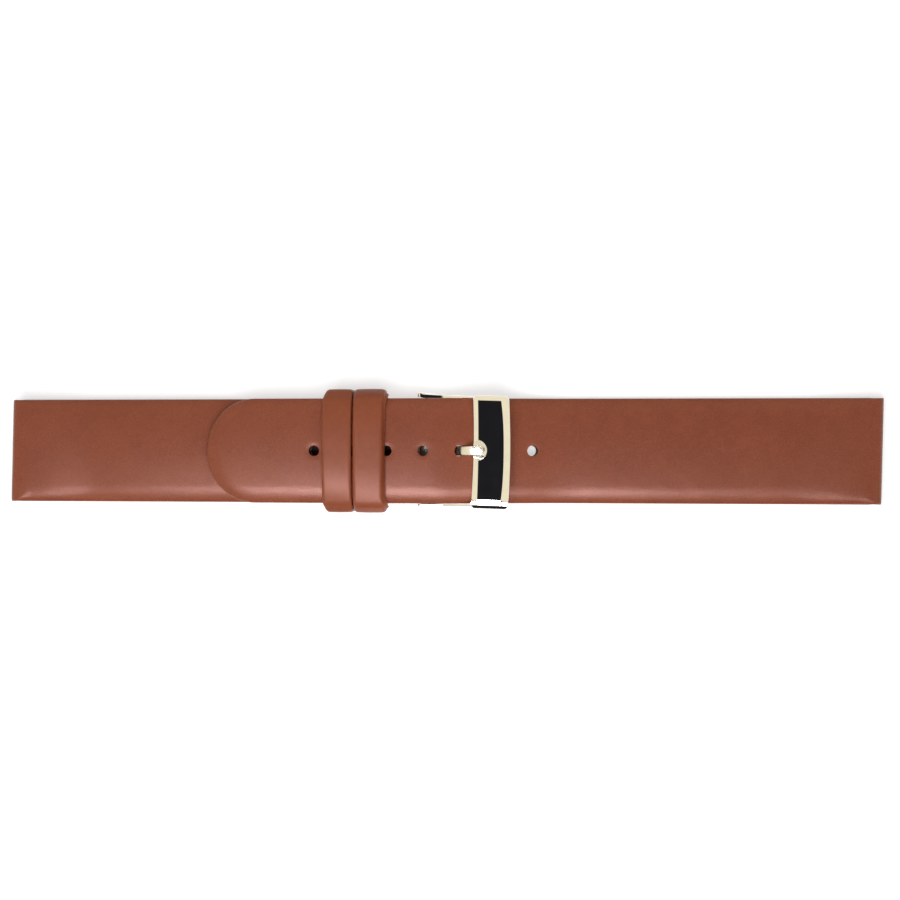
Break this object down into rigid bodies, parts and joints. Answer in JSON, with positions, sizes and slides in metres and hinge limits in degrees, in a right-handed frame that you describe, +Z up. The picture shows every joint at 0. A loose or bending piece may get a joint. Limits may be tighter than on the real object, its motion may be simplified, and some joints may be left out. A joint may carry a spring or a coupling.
{
  "type": "leather watch strap",
  "caption": "Flat leather watch strap lying buckled: short strap with steel pin buckle, fixed and free keeper, and punched tail.",
  "frame": {"origin": "under the middle of the buckled strap, on the surface that it lies on", "axes": "+X along the strap, from the short strap's lug end to the tail's lug end; +Y across the strap; +Z up, out of the outer face"},
  "size_m": [0.1488, 0.0208, 0.0074],
  "materials": {
    "brown_leather": "fine grain, semi-matt, turned edges",
    "beige_lining": "nubuck",
    "leather_board": "pressed fibre",
    "felt_padding": "felt",
    "woven_tape": "woven",
    "polished_steel": "mirror polished",
    "plain_steel": "turned"
  },
  "bodies": {
    "short_strap": {"short_upper_leather": "brown_leather", "short_padding": "felt_padding", "short_core": "leather_board", "short_lining": "beige_lining", "short_lug_tape": "woven_tape", "short_loop_tape": "woven_tape", "fixed_keeper_leather": "brown_leather", "fixed_keeper_core": "leather_board", "spring_bar_barrel": "plain_steel", "spring_bar_spring": "plain_steel", "tail_upper_loose_end": "brown_leather", "tail_padding_loose_end": "felt_padding", "tail_core_loose_end": "leather_board", "tail_lining_loose_end": "beige_lining"},
    "buckle": {"buckle_frame": "polished_steel", "tail_upper_watch_end": "brown_leather", "tail_padding_watch_end": "felt_padding", "tail_core_watch_end": "leather_board", "tail_lining_watch_end": "beige_lining", "tail_lug_tape": "woven_tape"},
    "tongue": {"buckle_tongue": "polished_steel"},
    "free_keeper": {"free_keeper_leather": "brown_leather", "free_keeper_core": "leather_board"},
    "pin_left": {"spring_bar_pin_left": "plain_steel"},
    "pin_right": {"spring_bar_pin_right": "plain_steel"}
  },
  "joints": [
    {"name": "buckle_hinge", "type": "hinge", "parent": "short_strap", "child": "buckle", "pos_m": [-0.00165, 0, 0.0023], "axis": [0, 1, 0], "range_deg": [0, 40]},
    {"name": "tongue_hinge", "type": "hinge", "parent": "buckle", "child": "tongue", "pos_m": [-0.00165, 0, 0.0023], "axis": [0, -1, 0], "range_deg": [0, 3]},
    {"name": "free_keeper_slide", "type": "slide", "parent": "short_strap", "child": "free_keeper", "axis": [-1, 0, 0], "range_m": [0, 0.05]},
    {"name": "pin_left_push", "type": "slide", "parent": "short_strap", "child": "pin_left", "axis": [0, -1, 0], "range_m": [0, 0.0007], "stiffness_N_per_m": 600, "springref_m": -0.0015, "deforming": ["spring_bar_spring"]},
    {"name": "pin_right_push", "type": "slide", "parent": "short_strap", "child": "pin_right", "axis": [0, 1, 0], "range_m": [0, 0.0007], "stiffness_N_per_m": 600, "springref_m": -0.0015, "deforming": ["spring_bar_spring"]}
  ]
}
